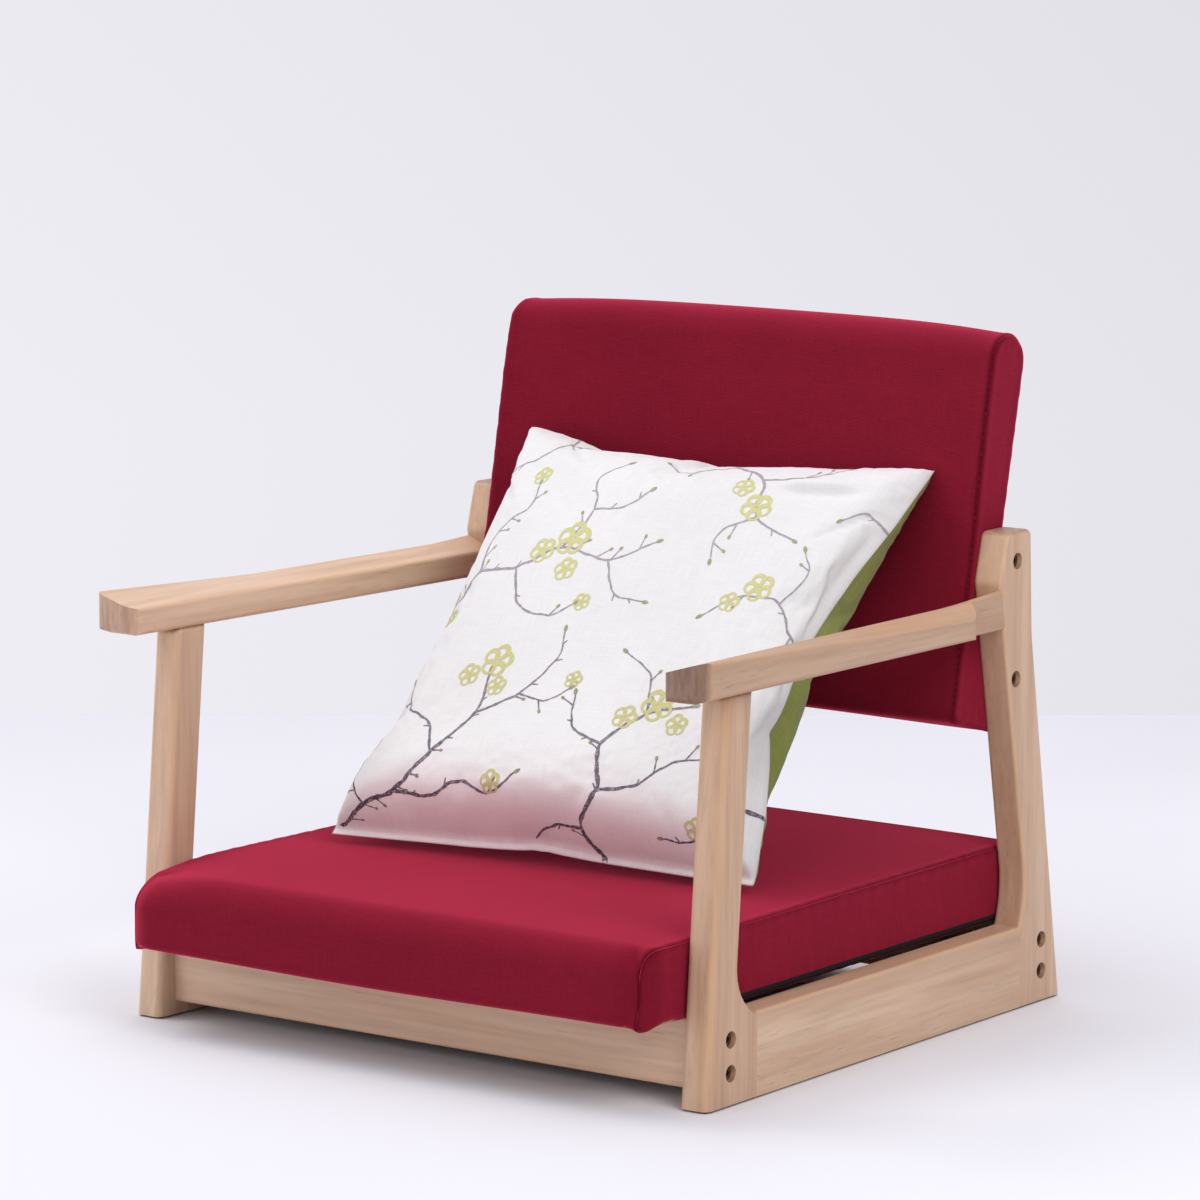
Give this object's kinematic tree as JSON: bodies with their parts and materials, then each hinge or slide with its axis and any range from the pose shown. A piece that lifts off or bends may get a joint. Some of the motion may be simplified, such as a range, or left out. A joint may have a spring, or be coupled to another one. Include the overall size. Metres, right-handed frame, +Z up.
{
  "type": "floor chair",
  "caption": "Legless floor chair with bolted wooden side frames, sloping armrests, an upholstered seat and curved back, and a loose square throw cushion.",
  "frame": {"origin": "centre of the footprint on the floor, under the chair", "axes": "+Z up, -Y to the front of the seat, +X to the right side frame as the picture shows it"},
  "size_m": [0.5938, 0.5494, 0.54],
  "materials": {
    "wood": "satin",
    "dowel_wood": "matte",
    "bolt_metal": "satin",
    "zinc_metal": "satin",
    "felt": "matte",
    "red_fabric": "matte",
    "black_cloth": "matte",
    "plywood": "matte",
    "foam": "matte",
    "printed_fabric": "matte",
    "green_fabric": "matte",
    "zip_nylon": "matte",
    "filling": "matte"
  },
  "bodies": {
    "chair": {"front_post_right": "wood", "front_post_left": "wood", "rear_post_right": "wood", "rear_post_left": "wood", "side_rail_right": "wood", "side_rail_left": "wood", "armrest_right": "wood", "armrest_left": "wood", "front_rail": "wood", "rear_rail": "wood", "rail_dowels": "dowel_wood", "armrest_front_dowels": "dowel_wood", "armrest_rear_dowels": "dowel_wood", "rail_bolts": "bolt_metal", "back_bolts": "bolt_metal", "barrel_nuts": "zinc_metal", "insert_nuts": "zinc_metal", "seat_screws": "zinc_metal", "seat_staples": "zinc_metal", "felt_strip_right": "felt", "felt_strip_left": "felt", "seat_cover": "red_fabric", "back_cover": "red_fabric", "seat_dust_cloth": "black_cloth", "seat_board": "plywood", "back_stile_right": "plywood", "back_stile_left": "plywood", "back_panel": "plywood", "seat_foam": "foam", "back_foam": "foam"},
    "cushion": {"cushion_front": "printed_fabric", "cushion_back": "green_fabric", "cushion_zip": "zip_nylon", "cushion_filling": "filling"}
  },
  "joints": [
    {"name": "cushion_lift", "type": "slide", "parent": "chair", "child": "cushion", "axis": [0, 0, 1], "range_m": [0, 0.45]}
  ]
}
